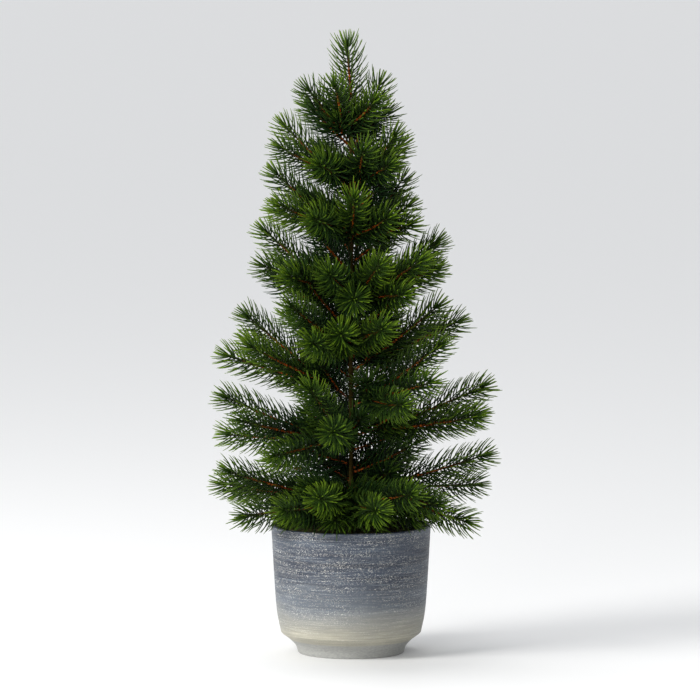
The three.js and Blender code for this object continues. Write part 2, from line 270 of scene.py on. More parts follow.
def twigs(main, random):
    """Short side shoots that fill a branch in near the trunk, springing from its main stem."""
    climb = (main.points[-1][2] - main.points[0][2]) / np.hypot(*(main.points[-1] - main.points[0])[:2])
    made = []
    for share, heading in TWIGS:
        lift = climb * random.uniform(0.7, 1.1) + 0.15
        made.append(twig(main, share, heading, main.length * TWIG_LENGTH, lift, random))
    return made


def trunk_shoots(random):
    """Short shoots straight from the trunk that hide it between the branches, and longer ones low down."""
    made = []
    low = [(height, math.radians(bearing), LOW_LENGTH, LOW_CLIMB) for height, bearing in LOW_SHOOTS]
    middle = [(height, math.radians(bearing), MIDDLE_LENGTH * height, MIDDLE_CLIMB)
              for height, bearing in MIDDLE_SHOOTS]
    high = [(height, number * GOLDEN_ANGLE, HIGH_LENGTH - HIGH_SHORTENING * height, HIGH_CLIMB)
            for number, height in enumerate(np.arange(HIGH_START, HIGH_END, HIGH_STEP))]
    for height, bearing, length, climb in low + middle + high:
        bearing += random.uniform(-0.2, 0.2)
        if math.sin(bearing) < FRONT_BARE:
            continue
        start = np.array([3 * math.cos(bearing), 3 * math.sin(bearing), height])
        aim = np.array([math.cos(bearing), math.sin(bearing), climb * random.uniform(0.7, 1.25)])
        end = start + aim * length * random.uniform(0.85, 1.1)
        made.append(Stem(start, (start + end) / 2 - np.array([0, 0, 0.06 * length]), end))
    return made


def skirt_shoots(random):
    """Low shoots from the foot of the trunk that spread over the moss to the planter's rim."""
    made = []
    for number in range(SKIRT_SHOOTS):
        bearing = math.degrees(2 * math.pi * number / SKIRT_SHOOTS + random.uniform(-0.08, 0.08))
        start = spot(3.5, bearing, random.uniform(*SKIRT_ROOTS))
        reach = random.uniform(*SKIRT_REACHES)
        end = spot(reach, bearing, random.uniform(*SKIRT_TIPS))
        made.append(Stem(start, (start + end) / 2 + np.array([0, 0, 3.0]), end))
    return made


def rod(stem, start, end, radius, sides=8, step=1.4, knots=0.0, taper=1.0):
    """Corners and faces of a closed round rod along a stretch of stem, with raised knots along it."""
    count = max(3, int((end - start) / step) + 1)
    distance = np.linspace(start, end, count)
    place, slope, side, over = stem.at(distance)
    share = np.linspace(0, 1, count)
    width = radius * (1 + (taper - 1) * share) * (1 + knots * (np.arange(count) % 2))
    angles = np.linspace(0, 2 * math.pi, sides, endpoint=False)
    rings = (place[:, None, :] + width[:, None, None]
             * (side[:, None, :] * np.cos(angles)[None, :, None]
                + over[:, None, :] * np.sin(angles)[None, :, None]))
    corners = np.concatenate([rings.reshape(-1, 3), place[:1], place[-1:]])
    faces = ring_faces(count, sides)
    first, last = len(corners) - 2, len(corners) - 1
    for turn in range(sides):
        following = (turn + 1) % sides
        faces.append((first, following, turn))
        faces.append((last, (count - 1) * sides + turn, (count - 1) * sides + following))
    return corners, faces


def joined(solids):
    """One list of corners and faces from several."""
    corners, faces, first = [], [], 0
    for part_corners, part_faces in solids:
        corners.append(part_corners)
        faces.extend(tuple(corner + first for corner in face) for face in part_faces)
        first += len(part_corners)
    return np.concatenate(corners), faces


# ---------- needles ----------
def needle_bases(stem, start, vigour, random):
    """Where the needles of one shoot stand, in whorls along the stem and a tuft at its tip.

    Gives their places, directions, the stem's direction there, the way out from the stem, their
    lengths and how young they are.
    """
    whorl_count = max(2, int((stem.length - start) / WHORL_STEP))
    whorl = np.repeat(np.arange(whorl_count), WHORL_NEEDLES)
    count = len(whorl)
    row = whorl + 0.5 + random.uniform(-0.14, 0.14, count)
    distance = start + row * (stem.length - start) / whorl_count
    place, slope, side, over = stem.at(distance)
    share = (distance - start) / (stem.length - start)
    turn = np.tile(np.arange(WHORL_NEEDLES), whorl_count) * 2 * math.pi / WHORL_NEEDLES
    turn = turn + whorl * WHORL_TWIST + random.normal(0, 0.09, count) + random.uniform(0, 6)
    lean = np.radians(np.interp(share, [0, 0.6, 0.9, 1], [82, 78, 70, 60]) + random.normal(0, 4, count))
    length = NEEDLE_LENGTH * np.interp(share, [0, 0.12, 0.75, 1], [0.72, 1, 1, 0.8])
    length = length * random.uniform(0.93, 1.05, count)
    tuft_place = np.repeat(stem.points[-1:], TUFT_NEEDLES, 0)
    tuft_slope = np.repeat(stem.slopes[-1:], TUFT_NEEDLES, 0)
    _, _, end_side, end_over = stem.at(stem.length)
    place = np.concatenate([place, tuft_place])
    slope = np.concatenate([slope, tuft_slope])
    side = np.concatenate([side, np.repeat(end_side, TUFT_NEEDLES, 0)])
    over = np.concatenate([over, np.repeat(end_over, TUFT_NEEDLES, 0)])
    turn = np.concatenate([turn, np.arange(TUFT_NEEDLES) * GOLDEN_ANGLE])
    lean = np.concatenate([lean, np.radians(np.linspace(4, 46, TUFT_NEEDLES))])
    length = np.concatenate([length, NEEDLE_LENGTH * random.uniform(0.64, 0.72, TUFT_NEEDLES)])
    out = side * np.cos(turn)[:, None] + over * np.sin(turn)[:, None]
    aim = slope * np.cos(lean)[:, None] + out * np.sin(lean)[:, None]
    youth = vigour * np.concatenate([share, np.ones(TUFT_NEEDLES)]) ** 1.4 + random.uniform(-0.34, 0.22)
    return place, aim, slope, out, length, youth


def needles(stem, start, vigour, random, keep_clear):
    """Corners, faces and per-corner values of one shoot's needles."""
    place, aim, slope, out, length, youth = needle_bases(stem, start, vigour, random)
    count = len(place)
    spread = np.linalg.norm(np.cross(aim, slope), axis=1)[:, None]
    curl = spread * random.uniform(0.4, 0.6, count)[:, None]
    bend = slope * curl - out * spread * 0.14 + np.cross(slope, out) * random.normal(0, 0.05, count)[:, None]
    kept = np.full(count, True)
    for share in CLEAR_SHARES:
        kept &= keep_clear(place + (aim * share + bend * share ** 2) * length[:, None])
    place, aim, bend, length = place[kept], aim[kept], bend[kept], length[kept]
    slope, youth = slope[kept], youth[kept]
    count = len(place)
    across = np.cross(aim, slope)
    across /= np.linalg.norm(across, axis=1)[:, None] + 1e-9
    upright = np.cross(aim, across)
    angles = np.linspace(0, 2 * math.pi, NEEDLE_SIDES, endpoint=False)
    thick = NEEDLE_RADIUS * random.uniform(0.88, 1.12, count)
    layers = []
    for share, width in NEEDLE_RINGS:
        middle = place + (aim * share + bend * share ** 2) * length[:, None]
        around = (across[:, None, :] * np.cos(angles)[None, :, None]
                  + upright[:, None, :] * np.sin(angles)[None, :, None])
        layers.append(middle[:, None, :] + around * (thick * width)[:, None, None])
    base = place[:, None, :]
    tip = (place + (aim + bend) * length[:, None])[:, None, :]
    corners = np.concatenate(layers + [base, tip], 1)
    per = corners.shape[1]
    pattern = ring_faces(len(NEEDLE_RINGS), NEEDLE_SIDES)
    last = (len(NEEDLE_RINGS) - 1) * NEEDLE_SIDES
    for side in range(NEEDLE_SIDES):
        turn = (side + 1) % NEEDLE_SIDES
        pattern.append((per - 2, turn, side))
        pattern.append((per - 1, last + side, last + turn))
    faces = [tuple(corner + needle * per for corner in face) for needle in range(count) for face in pattern]
    shares = [share for share, _ in NEEDLE_RINGS for _ in range(NEEDLE_SIDES)] + [0.0, 1.0]
    along = np.tile(shares, count)
    tone = np.repeat(random.uniform(0, 1, count), per)
    return corners.reshape(-1, 3), faces, {"along": along, "tone": tone, "youth": np.repeat(youth, per)}


def clear_of_planter(points):
    """True for points that aren't in the planter's wall or under the moss."""
    reach = np.hypot(points[:, 0], points[:, 1])
    in_wall = (reach > RIM_RADIUS - 7) & (reach < RIM_RADIUS + 1) & (points[:, 2] < PLANTER_HEIGHT + 1)
    in_moss = (reach < RIM_RADIUS) & (points[:, 2] < PLANTER_HEIGHT - 6)
    return ~(in_wall | in_moss)


def clear_at_rest_and_lowered(name):
    """A test that points miss the planter at rest and when their branch is bent halfway or right down."""
    pivot = Vector(JOINTS[name]["pos_m"]) / MM
    axis = Vector(JOINTS[name]["axis"])
    turns = [Matrix.Rotation(math.radians(RANGES[name][0] * share), 3, axis) for share in (0.5, 1.0)]

    def keep_clear(points):
        kept = clear_of_planter(points)
        for turn in turns:
            kept &= clear_of_planter((points - np.array(pivot)) @ np.array(turn).T + np.array(pivot))
        return kept

    return keep_clear


def stem_share(points, stem):
    """How far along a stem each point is, from 0 at its start to 1 at its tip."""
    start, end = stem.points[0], stem.points[-1]
    chord = end - start
    return np.clip((points - start) @ chord / (chord @ chord), 0, 1)


def spray(name, body, node, stems, starts, vigours, seed, keep_clear=clear_of_planter):
    """A moulded spray of brown stems and green needles, as two pieces, standing for a node if it has one."""
    random = np.random.default_rng(seed)
    rods = [rod(stem, start, stem.length, STEM_RADIUS, knots=STEM_KNOTS, taper=0.7)
            for stem, start in zip(stems, starts)]
    corners, faces = joined(rods)
    along = np.concatenate([stem_share(rod_corners, stem) for (rod_corners, _), stem in zip(rods, stems)])
    stem_piece = build(name + "_moulded_stem", corners, faces, values={"along": along})
    stem_piece.data.materials.append(MATERIALS["stem"])
    shoots = [needles(stem, start + 1, vigour, random, keep_clear)
              for stem, start, vigour in zip(stems, starts, vigours)]
    corners, faces = joined([(shoot[0], shoot[1]) for shoot in shoots])
    values = {key: np.concatenate([shoot[2][key] for shoot in shoots]) for key in ("along", "tone", "youth")}
    piece = build(name + "_needle_spray", corners, faces, values=values)
    piece.data.materials.append(MATERIALS["needles"])
    for part in (stem_piece, piece):
        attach(part, body)
        if node:
            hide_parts(node)


def trunk_fillers():
    """All the filler shoots on the trunk, which move with the tree."""
    stems = trunk_shoots(np.random.default_rng(61)) + skirt_shoots(np.random.default_rng(62))
    spray("trunk_filler", "tree", None, stems, [0.5] * len(stems), [FILLER_VIGOUR] * len(stems), 63)


def branch(name, seed):
    """One branch: its needle spray with the filler twigs, and the wire that it is bent by."""
    long_stems = branch_stems(name)
    main = long_stems[0]
    short_stems = twigs(main, np.random.default_rng(seed + 500))
    stems = long_stems + short_stems
    vigours = [TIP_VIGOUR] * len(long_stems) + [TWIG_VIGOUR] * len(short_stems)
    starts = [SPRAY_START] + [0.5] * (len(stems) - 1)
    keep_clear = clear_at_rest_and_lowered(name + "_bend")
    spray(name, name, name + "_needles", stems, starts, vigours, seed, keep_clear)
    corners, faces = rod(main, -1.5, main.length * WIRE_REACH, WIRE_RADIUS, sides=10, step=1.0)
    wire = build(name + "_wire_bar", corners, faces)
    wire.data.materials.append(MATERIALS["wire"])
    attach(wire, name)
    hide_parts(name + "_wire")


# ---------- materials ----------
def material(name):
    """A new material with its nodes, its links and its shader."""
    made = bpy.data.materials.new(name)
    made.use_nodes = True
    nodes = made.node_tree.nodes
    return made, nodes, made.node_tree.links, nodes["Principled BSDF"]


def ramp(nodes, links, source, stops):
    """Colours by value, from stops of [value, colour]."""
    node = nodes.new("ShaderNodeValToRGB")
    elements = node.color_ramp.elements
    while len(elements) < len(stops):
        elements.new(0.5)
    for element, (place, colour) in zip(elements, stops):
        element.position = place
        element.color = (*colour, 1)
    links.new(source, node.inputs["Fac"])
    return node.outputs["Color"]


def noise(nodes, links, place, scale, detail=3, roughness=0.55):
    """A cloudy value around one half."""
    node = nodes.new("ShaderNodeTexNoise")
    node.inputs["Scale"].default_value = scale
    node.inputs["Detail"].default_value = detail
    node.inputs["Roughness"].default_value = roughness
    links.new(place, node.inputs["Vector"])
    return node.outputs["Fac"]


def math_node(nodes, links, operation, first, second, clamp=False):
    """One step of arithmetic on two values, each a number or a socket."""
    node = nodes.new("ShaderNodeMath")
    node.operation = operation
    node.use_clamp = clamp
    for socket, value in zip(node.inputs, (first, second)):
        if isinstance(value, (int, float)):
            socket.default_value = value
        else:
            links.new(value, socket)
    return node.outputs[0]


def scaled(nodes, links, value, factor, offset=0.0, clamp=False):
    """value times factor plus offset."""
    node = nodes.new("ShaderNodeMath")
    node.operation = "MULTIPLY_ADD"
    node.use_clamp = clamp
    links.new(value, node.inputs[0])
    node.inputs[1].default_value = factor
    node.inputs[2].default_value = offset
    return node.outputs[0]


def mix(nodes, links, share, first, second):
    """The second colour laid over the first by a share."""
    node = nodes.new("ShaderNodeMix")
    node.data_type = "RGBA"
    for socket, value in ((node.inputs[0], share), (node.inputs[6], first), (node.inputs[7], second)):
        if isinstance(value, (int, float)):
            socket.default_value = value
        elif isinstance(value, tuple):
            socket.default_value = (*value, 1)
        else:
            links.new(value, socket)
    return node.outputs[2]


def bump(nodes, links, shader, height, distance, strength):
    """Fine relief on a shader, with its depth in metres."""
    node = nodes.new("ShaderNodeBump")
    node.inputs["Strength"].default_value = strength
    node.inputs["Distance"].default_value = distance
    links.new(height, node.inputs["Height"])
    links.new(node.outputs["Normal"], shader.inputs["Normal"])


def object_coordinates(nodes, links, scale=(1, 1, 1)):
    """The piece's own coordinates in metres, squeezed by a scale."""
    source = nodes.new("ShaderNodeTexCoord")
    mapping = nodes.new("ShaderNodeMapping")
    mapping.inputs["Scale"].default_value = scale
    links.new(source.outputs["Object"], mapping.inputs["Vector"])
    return mapping.outputs["Vector"]


def attribute(nodes, name):
    """One of the per-corner values that build() puts on a piece."""
    node = nodes.new("ShaderNodeAttribute")
    node.attribute_name = name
    return node.outputs["Fac"]


def needle_material():
    """Soft green plastic: dark near stem and trunk, yellower green to the tips of needles and shoots; along each
    needle the darkening towards the stem is partly painted shade and the yellow-green tip partly painted
    highlight.
    """
    made, nodes, links, shader = material("moulded_needles")
    place = object_coordinates(nodes, links)
    along = attribute(nodes, "along")
    tone = attribute(nodes, "tone")
    youth = attribute(nodes, "youth")
    drift = noise(nodes, links, place, 22, 2)
    # Along each needle both ramps run from dark at the stem to lighter at the tip. This is partly painted shade at
    # the base and painted highlight at the tip, and partly the plastic's own old and fresh greens.
    old_green_painted_shade_and_highlight = ramp(nodes, links, along, [(0.0, (0.004, 0.009, 0.003)), (0.45, (0.006, 0.018, 0.005)),
                                     (1.0, (0.014, 0.042, 0.010))])
    fresh_green_painted_shade_and_highlight = ramp(nodes, links, along, [(0.0, (0.008, 0.019, 0.003)), (0.5, (0.026, 0.061, 0.004)),
                                       (1.0, (0.125, 0.205, 0.009))])
    drifting = scaled(nodes, links, drift, 1.0, -0.6)
    spread = math_node(nodes, links, "ADD", scaled(nodes, links, tone, 0.3), drifting)
    share = math_node(nodes, links, "ADD", youth, spread, clamp=True)
    links.new(mix(nodes, links, share, old_green_painted_shade_and_highlight, fresh_green_painted_shade_and_highlight), shader.inputs["Base Color"])
    shader.inputs["Roughness"].default_value = 0.42
    shader.inputs["Specular IOR Level"].default_value = 0.1
    grain = noise(nodes, links, place, 2600, 2)
    bump(nodes, links, shader, grain, 0.00006, 0.5)
    return made


def stem_material():
    """Orange-brown paint on the moulded stems, patchy, thinning to the green plastic towards the tip."""
    made, nodes, links, shader = material("painted_stem")
    place = object_coordinates(nodes, links)
    patches = noise(nodes, links, place, 420, 3)
    colour = ramp(nodes, links, patches, [(0.38, (0.040, 0.010, 0.001)), (0.52, (0.23, 0.046, 0.004)),
                                          (0.68, (0.50, 0.125, 0.010))])
    fading = ramp(nodes, links, attribute(nodes, "along"), [(0.6, (0, 0, 0)), (0.9, (1, 1, 1))])
    colour = mix(nodes, links, fading, colour, (0.020, 0.030, 0.005))
    links.new(colour, shader.inputs["Base Color"])
    shader.inputs["Roughness"].default_value = 0.62
    shader.inputs["Specular IOR Level"].default_value = 0.15
    bump(nodes, links, shader, noise(nodes, links, place, 1500, 3), 0.0002, 0.6)
    return made


def wire_material():
    """Brown paper tape wound on the steel wires."""
    made, nodes, links, shader = material("taped_wire")
    place = object_coordinates(nodes, links)
    patches = noise(nodes, links, place, 300, 4)
    colour = ramp(nodes, links, patches, [(0.3, (0.045, 0.018, 0.006)), (0.6, (0.13, 0.05, 0.014)),
                                          (0.8, (0.20, 0.09, 0.03))])
    links.new(colour, shader.inputs["Base Color"])
    shader.inputs["Roughness"].default_value = 0.75
    bump(nodes, links, shader, noise(nodes, links, place, 1800, 3), 0.0002, 0.6)
    return made


def tape_material():
    """Crinkled brown-olive paper tape."""
    made, nodes, links, shader = material("trunk_tape_paper")
    place = object_coordinates(nodes, links, (1, 1, 0.45))
    crinkle = noise(nodes, links, place, 900, 5, 0.65)
    patches = noise(nodes, links, place, 90, 3)
    colour = mix(nodes, links, patches,
                 ramp(nodes, links, crinkle, [(0.3, (0.008, 0.005, 0.001)), (0.7, (0.050, 0.028, 0.003))]),
                 ramp(nodes, links, crinkle, [(0.3, (0.010, 0.009, 0.001)), (0.7, (0.062, 0.046, 0.006))]))
    links.new(colour, shader.inputs["Base Color"])
    shader.inputs["Roughness"].default_value = 0.85
    shader.inputs["Specular IOR Level"].default_value = 0.12
    bump(nodes, links, shader, crinkle, 0.0004, 0.8)
    return made


def height_share(nodes, links, height, low, high, at_low, at_high):
    """A value that goes from at_low to at_high between two heights in millimetres."""
    node = nodes.new("ShaderNodeMapRange")
    for key, value in (("From Min", low), ("From Max", high), ("To Min", at_low), ("To Max", at_high)):
        node.inputs[key].default_value = value
    links.new(height, node.inputs["Value"])
    return node.outputs["Result"]


def glaze_material():
    """Navy slate glaze in streaks, thick with cream speckle, fading to beige over a bare grey foot."""
    made, nodes, links, shader = material("streaked_glaze")
    source = nodes.new("ShaderNodeTexCoord").outputs["Object"]
    split = nodes.new("ShaderNodeSeparateXYZ")
    links.new(source, split.inputs["Vector"])
    height = math_node(nodes, links, "MULTIPLY", split.outputs["Z"], 1000)
    broad = noise(nodes, links, object_coordinates(nodes, links, (1, 1, 14)), 10, 4, 0.6)
    fine = noise(nodes, links, object_coordinates(nodes, links, (1, 1, 40)), 26, 7, 0.72)
    dash = noise(nodes, links, object_coordinates(nodes, links, (1, 1, 5)), 360, 1, 0.5)
    dot = noise(nodes, links, object_coordinates(nodes, links, (1, 1, 1.5)), 1350, 0, 0.4)
    rows = noise(nodes, links, object_coordinates(nodes, links, (1, 1, 22)), 34, 3, 0.6)
    clouds = noise(nodes, links, object_coordinates(nodes, links, (1, 1, 3)), 14, 4, 0.6)
    body = ramp(nodes, links, broad, [(0.34, (0.008, 0.013, 0.027)), (0.5, (0.019, 0.029, 0.052)),
                                      (0.66, (0.044, 0.061, 0.092))])
    thin = ramp(nodes, links, fine, [(0.50, (0, 0, 0)), (0.60, (1, 1, 1))])
    body = mix(nodes, links, math_node(nodes, links, "MULTIPLY", thin, 0.55), body, (0.15, 0.178, 0.21))
    mottled_height = math_node(nodes, links, "ADD", height, scaled(nodes, links, clouds, 30, -15))
    thinned_share = height_share(nodes, links, mottled_height, 46, 84, 0.5, 0)
    body = mix(nodes, links, thinned_share, body, (0.20, 0.225, 0.25))
    beige_share = height_share(nodes, links, mottled_height, 20, 54, 1, 0)
    beige = ramp(nodes, links, fine, [(0.3, (0.24, 0.235, 0.195)), (0.55, (0.38, 0.36, 0.29)),
                                      (0.75, (0.52, 0.49, 0.41))])
    body = mix(nodes, links, beige_share, body, beige)
    flecks = math_node(nodes, links, "MAXIMUM",
                       ramp(nodes, links, dash, [(0.68, (0, 0, 0)), (0.72, (1, 1, 1))]),
                       ramp(nodes, links, dot, [(0.655, (0, 0, 0)), (0.70, (1, 1, 1))]))
    where = scaled(nodes, links, clouds, 4.0, -1.35, clamp=True)
    where = math_node(nodes, links, "MULTIPLY", where, scaled(nodes, links, rows, 6.0, -2.4, clamp=True))
    low_end = height_share(nodes, links, height, 20, 90, 0.25, 1.2)
    where = math_node(nodes, links, "MULTIPLY", where, low_end)
    lined = math_node(nodes, links, "ADD", where, math_node(nodes, links, "MULTIPLY", thin, 0.3), clamp=True)
    pale = math_node(nodes, links, "MULTIPLY", flecks, lined)
    body = mix(nodes, links, pale, body, (0.85, 0.81, 0.72))
    foot_share = height_share(nodes, links, height, GLAZE_EDGE - 0.6, GLAZE_EDGE + 0.4, 1, 0)
    bare = ramp(nodes, links, dash, [(0.3, (0.24, 0.245, 0.235)), (0.7, (0.36, 0.36, 0.34))])
    links.new(mix(nodes, links, foot_share, body, bare), shader.inputs["Base Color"])
    links.new(scaled(nodes, links, fine, 0.3, 0.34), shader.inputs["Roughness"])
    rough_height = math_node(nodes, links, "ADD", fine, math_node(nodes, links, "MULTIPLY", flecks, 0.25))
    bump(nodes, links, shader, rough_height, 0.0007, 0.8)
    return made


def moss_material():
    """Dried moss and fibre in mixed dark greens and straw."""
    made, nodes, links, shader = material("dry_moss")
    place = object_coordinates(nodes, links)
    patches = noise(nodes, links, place, 120, 4)
    clumps = ramp(nodes, links, patches, [(0.3, (0.012, 0.014, 0.004)), (0.5, (0.05, 0.055, 0.012)),
                                          (0.7, (0.13, 0.10, 0.035))])
    tone = attribute(nodes, "tone")
    straw = ramp(nodes, links, tone, [(0.0, (0.02, 0.03, 0.006)), (0.5, (0.07, 0.075, 0.018)),
                                      (1.0, (0.24, 0.17, 0.07))])
    links.new(mix(nodes, links, 0.6, clumps, straw), shader.inputs["Base Color"])
    shader.inputs["Roughness"].default_value = 0.95
    bump(nodes, links, shader, noise(nodes, links, place, 800, 4), 0.0008, 0.8)
    return made


def pot_material():
    """Scuffed black plastic."""
    made, nodes, links, shader = material("black_pot_plastic")
    place = object_coordinates(nodes, links)
    scuffs = noise(nodes, links, place, 160, 5, 0.7)
    colour = ramp(nodes, links, scuffs, [(0.35, (0.006, 0.006, 0.007)), (0.75, (0.020, 0.020, 0.021))])
    links.new(colour, shader.inputs["Base Color"])
    shader.inputs["Roughness"].default_value = 0.5
    shader.inputs["Specular IOR Level"].default_value = 0.3
    bump(nodes, links, shader, noise(nodes, links, place, 1400, 2), 0.0001, 0.5)
    return made


def plain_rough(name, low, high, scale, roughness, metal=0.0):
    """A two-tone mottled surface."""
    made, nodes, links, shader = material(name)
    place = object_coordinates(nodes, links)
    mottle = noise(nodes, links, place, scale, 4)
    links.new(ramp(nodes, links, mottle, [(0.35, low), (0.7, high)]), shader.inputs["Base Color"])
    shader.inputs["Roughness"].default_value = roughness
    shader.inputs["Metallic"].default_value = metal
    bump(nodes, links, shader, mottle, 0.0005, 0.5)
    return made


MATERIALS = {
    "needles": needle_material(),
    "stem": stem_material(),
    "wire": wire_material(),
    "tape": tape_material(),
    "glaze": glaze_material(),
    "moss": moss_material(),
    "pot": pot_material(),
    "plaster": plain_rough("set_plaster", (0.42, 0.40, 0.36), (0.60, 0.58, 0.53), 140, 0.9),
    "foam": plain_rough("flower_foam", (0.02, 0.06, 0.025), (0.05, 0.13, 0.05), 700, 0.95),
    "rod": plain_rough("trunk_steel", (0.20, 0.19, 0.17), (0.34, 0.32, 0.29), 260, 0.45, 0.9),
}


# ---------- planter, pot, moss, trunk ----------
MOSS_HOLE = 3.4              # radius of the hole round the trunk, in millimetres
MOSS_FIBRES = 1100
TAPE_RADIUS = 2.0            # at the foot of the trunk
TAPE_TAPER = 0.25            # how much thinner the trunk is at its top
TAPE_KNOT = 0.55             # how far the tape stands out where a branch is bound in
TAPE_KNOT_LENGTH = 3.5
TAPE_WIDEST = 3.0
TAPE_LAP = 0.25              # step from one turn of the tape to the next
TAPE_TURN = 7.0              # height of one turn


def planter():
    """The glazed planter, with a crisp shoulder, a softened lip and faint throwing ridges."""
    inner_rim = RIM_RADIUS - PLANTER_RIM_WALL
    lip = [(RIM_RADIUS - 0.2, PLANTER_HEIGHT - 0.5), (RIM_RADIUS - 1.2, PLANTER_HEIGHT),
           (inner_rim + 1, PLANTER_HEIGHT), (inner_rim, PLANTER_HEIGHT - 1)]
    foot_radius = PLANTER_OUTSIDE[0][0]
    foot = [(2, 0.0), (foot_radius - 1.0, 0.0), (foot_radius - 0.2, 0.7)]
    shoulder_radius, shoulder_height = PLANTER_OUTSIDE[SHOULDER]
    under_shoulder = (shoulder_radius - 0.9, shoulder_height - 0.9)
    cove = [(foot_radius, 1.4)] + PLANTER_OUTSIDE[1:SHOULDER] + [under_shoulder]
    edge = (shoulder_radius - 0.25, shoulder_height - 0.1)
    side = [(shoulder_radius + 0.15, shoulder_height + 1)] + PLANTER_OUTSIDE[SHOULDER + 1:]
    outside = smooth_outline(cove, 0.8) + [edge] + smooth_outline(side, 0.8)
    inside = [(radius - PLANTER_WALL, height) for radius, height in reversed(PLANTER_OUTSIDE[SHOULDER:-1])]
    inside = smooth_outline(inside + [(51, PLANTER_FLOOR)], 3) + [(2, PLANTER_FLOOR)]
    outline = foot + outside + lip + inside
    random = np.random.default_rng(7)
    phases = random.uniform(0, 2 * math.pi, (6, 3))

    def ridges(radius, height, angles):
        if height < 1.5 or height > 124 or radius < 52:
            return 0 * angles
        swell = sum(np.sin(angles * (2 + k) + phases[k, 0] + height * 0.9 * (k + 1) / 3) for k in range(6))
        return 0.035 * swell * np.sin(height * 2.3 + phases[0, 1]) - 0.09 * (abs(height - GLAZE_EDGE) < 0.6)

    piece = turned("glazed_planter", outline, 256, push=ridges)
    piece.data.materials.append(MATERIALS["glaze"])
    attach(piece, "planter")
    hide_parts("planter")


def grower_pot():
    """The plain plastic pot that the tree is set in, with a rolled lip."""
    low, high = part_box("grower_pot")
    foot, top = low[2] / MM, high[2] / MM
    lip = high[0] / MM
    rim = lip - 2
    outline = [(2, foot + 1.2), (44, foot + 1.2), (45, foot), (46, foot + 0.6)]
    outline += smooth_outline([(46.2, foot + 1.5), (rim - 0.6, top - 4)], 4)
    outline += [(rim - 0.2, top - 3.2), (lip - 0.4, top - 3), (lip, top - 2.4), (lip, top - 0.6),
                (lip - 0.5, top), (rim - 0.8, top), (rim - 1.4, top - 0.8)]
    outline += smooth_outline([(rim - 1.8, top - 3), (45, foot + 3)], 6)
    outline += [(43, foot + 2.2), (2, foot + 2.2)]
    piece = turned("nursery_pot", outline, 128)
    piece.data.materials.append(MATERIALS["pot"])
    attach(piece, "tree")
    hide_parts("grower_pot")


def moss():
    """A lumpy mat with curled fibres over it."""
    low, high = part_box("moss_top")
    edge = high[0] / MM
    bottom, top = low[2] / MM, high[2] / MM
    random = np.random.default_rng(21)
    waves = [(random.uniform(0.05, 0.35), random.uniform(0, 6.28), random.uniform(0, 6.28))
             for _ in range(14)]

    def lumps(x, y):
        total = 0
        for size, heading, phase in waves:
            total = total + np.sin((x * math.cos(heading) + y * math.sin(heading)) * size + phase)
        return total / len(waves) * 2.6

    sides, rings = 96, 26
    angles = np.linspace(0, 2 * math.pi, sides, endpoint=False)
    corners = []
    for ring in range(rings):
        reach = MOSS_HOLE + (edge - MOSS_HOLE) * ring / (rings - 1)
        x, y = reach * np.cos(angles), reach * np.sin(angles)
        droop = 3.5 * (reach / edge) ** 6
        corners.append(np.stack([x, y, top - 2.2 + lumps(x, y) - droop], 1))
    for reach in (edge, MOSS_HOLE):
        corners.append(np.stack([reach * np.cos(angles), reach * np.sin(angles), np.full(sides, bottom)], 1))
    corners = np.concatenate(corners)
    ring_total = rings + 2
    faces = ring_faces(ring_total, sides)
    last = (ring_total - 1) * sides
    faces += [(last + side, last + (side + 1) % sides, (side + 1) % sides, side) for side in range(sides)]
    faces = [face[::-1] for face in faces]
    solids = [(corners, faces)]
    tones = [np.full(len(corners), 0.25)]
    for _ in range(MOSS_FIBRES):
        reach, bearing = (edge - 6) * math.sqrt(random.uniform(0.01, 1)), random.uniform(0, 2 * math.pi)
        start = np.array([reach * math.cos(bearing), reach * math.sin(bearing), 0])
        heading = random.uniform(0, 2 * math.pi)
        length = random.uniform(5, 14)
        end = start + length * np.array([math.cos(heading), math.sin(heading), 0])
        end[:2] *= min(1, (edge - 1.5) / np.hypot(end[0], end[1]))
        for point in (start, end):
            point[2] = top - 2.4 + float(lumps(point[0], point[1])) + random.uniform(-0.6, 1.0)
        middle = (start + end) / 2 + random.normal(0, 2.0, 3)
        middle[2] = (start[2] + end[2]) / 2 + random.uniform(0.5, 3.5)
        fibre = Stem(start, middle, end)
        solid = rod(fibre, 0, fibre.length, random.uniform(0.16, 0.42), sides=4, step=2.2, taper=0.5)
        solids.append(solid)
        tones.append(np.full(len(solid[0]), random.uniform(0, 1)))
    corners, faces = joined(solids)
    piece = build("moss_mat", corners, faces, values={"tone": np.concatenate(tones)})
    piece.data.materials.append(MATERIALS["moss"])
    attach(piece, "tree")
    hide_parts("moss_top")


def trunk():
    """The taped trunk: overlapping turns of tape, thicker where each branch is bound in."""
    low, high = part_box("trunk_tape")
    bottom, top = low[2] / MM, high[2] / MM
    roots = [JOINTS[name + "_bend"]["pos_m"][2] / MM for name in BRANCHES]
    sides, step = 20, 0.8
    heights = np.arange(bottom, top, step)
    angles = np.linspace(0, 2 * math.pi, sides, endpoint=False)
    rings = []
    for height in heights:
        width = TAPE_RADIUS - TAPE_TAPER * (height - bottom) / (top - bottom)
        width += sum(TAPE_KNOT * math.exp(-((height - root) / TAPE_KNOT_LENGTH) ** 2) for root in roots)
        lap = (height / TAPE_TURN + angles / (2 * math.pi)) % 1.0
        reach = min(width, TAPE_WIDEST) + TAPE_LAP * lap
        rings.append(np.stack([reach * np.cos(angles), reach * np.sin(angles), np.full(sides, height)], 1))
    corners = np.concatenate(rings + [[[0, 0, heights[0]]], [[0, 0, heights[-1]]]])
    faces = ring_faces(len(heights), sides)
    last = (len(heights) - 1) * sides
    for side in range(sides):
        turn = (side + 1) % sides
        faces.append((len(corners) - 2, turn, side))
        faces.append((len(corners) - 1, last + side, last + turn))
    piece = build("wound_trunk_tape", corners, faces)
    piece.data.materials.append(MATERIALS["tape"])
    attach(piece, "tree")
    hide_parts("trunk_tape")


